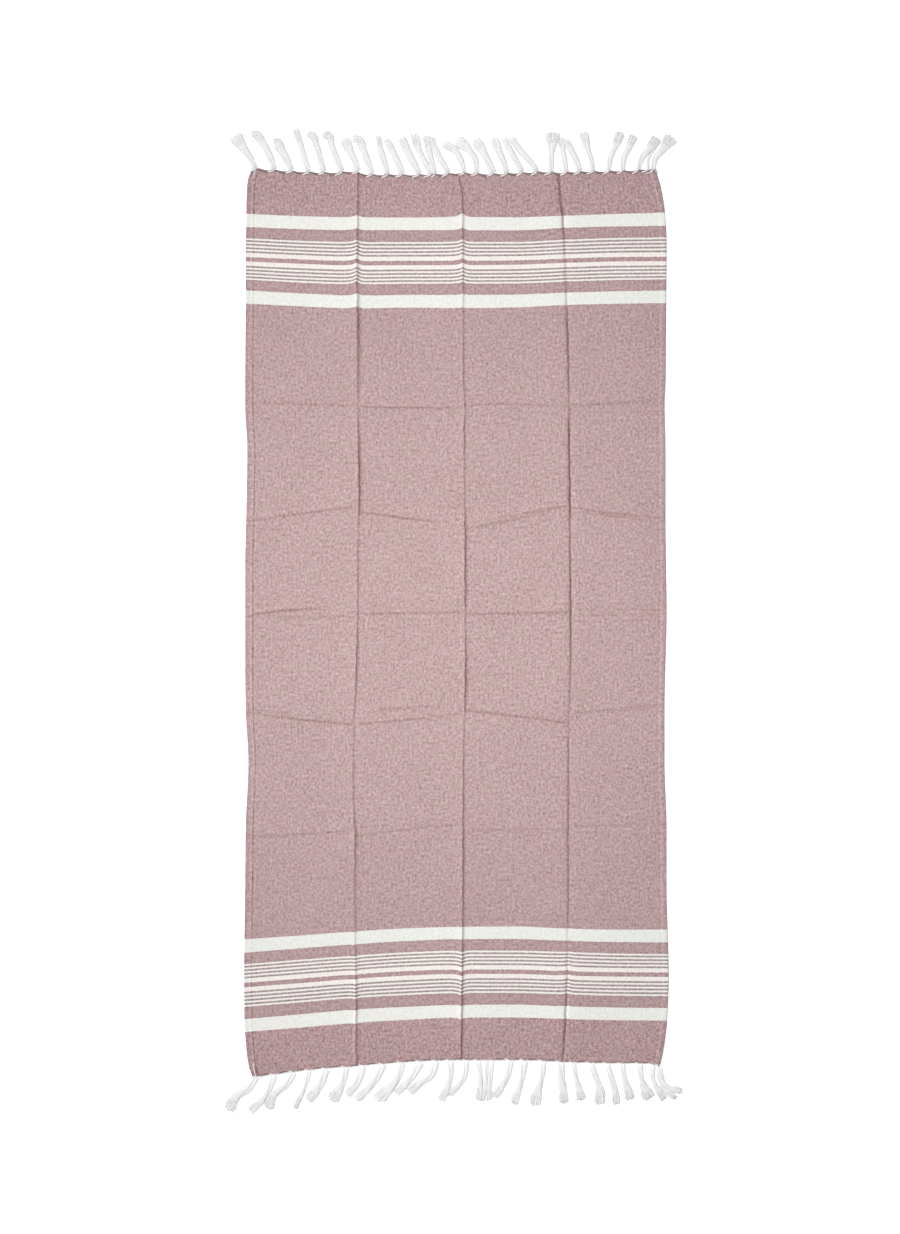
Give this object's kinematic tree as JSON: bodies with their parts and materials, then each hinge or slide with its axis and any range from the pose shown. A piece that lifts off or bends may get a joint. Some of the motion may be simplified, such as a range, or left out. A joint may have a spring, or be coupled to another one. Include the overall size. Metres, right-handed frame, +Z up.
{
  "type": "hammam towel",
  "caption": "Flat-woven cotton towel laid flat, with stored-fold creases, banded stripes near both ends and a fringe of twisted cords along each short edge.",
  "frame": {"origin": "on the surface the towel lies on, under the centre of the outline that cloth and fringes fill", "axes": "+Y along the towel towards fringe_top, +X across it to the right as seen from above, +Z up, out of the face that shows"},
  "size_m": [0.8652, 1.8652, 0.0135],
  "materials": {
    "woven_cotton": "plain weave, white warp and dusty rose weft, with white bands and hairlines near both ends",
    "cotton_cord": "undyed white cotton, twisted in cords with loose tips"
  },
  "bodies": {
    "root": {"towel_cloth": "woven_cotton", "fringe_top": "cotton_cord", "fringe_bottom": "cotton_cord"}
  },
  "joints": []
}
